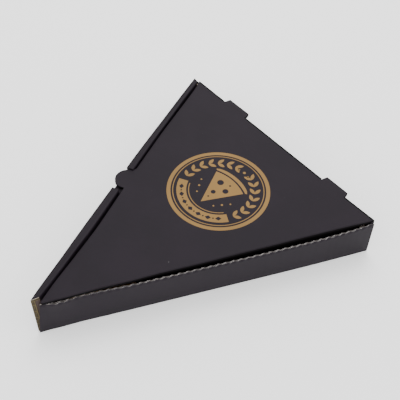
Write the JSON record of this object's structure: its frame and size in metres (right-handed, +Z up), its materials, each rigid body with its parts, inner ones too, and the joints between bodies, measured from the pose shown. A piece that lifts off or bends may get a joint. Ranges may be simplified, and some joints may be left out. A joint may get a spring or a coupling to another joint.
{
  "type": "pizza slice box",
  "caption": "Wedge-shaped takeaway box for a pizza slice, folded from one sheet of black printed corrugated board, with a hinged tuck-in lid.",
  "frame": {"origin": "under the middle of the box's outline, on the surface it stands on", "axes": "+Z up, -Y towards the tip of the wedge, +Y towards the rear wall that the lid turns on, +X towards the single-layer long wall"},
  "size_m": [0.231, 0.268, 0.0425],
  "materials": {
    "tray_board": "matt black print on kraft corrugated board, raw kraft at the cut edges and inside",
    "lid_board": "matt black print on kraft corrugated board with a bare kraft badge"
  },
  "bodies": {
    "tray": {"tray": "tray_board"},
    "lid": {"lid": "lid_board"}
  },
  "joints": [
    {"name": "lid_hinge", "type": "hinge", "parent": "tray", "child": "lid", "pos_m": [0, 0.12657, 0.041], "axis": [-1, 0, 0], "range_deg": [0, 180]}
  ]
}
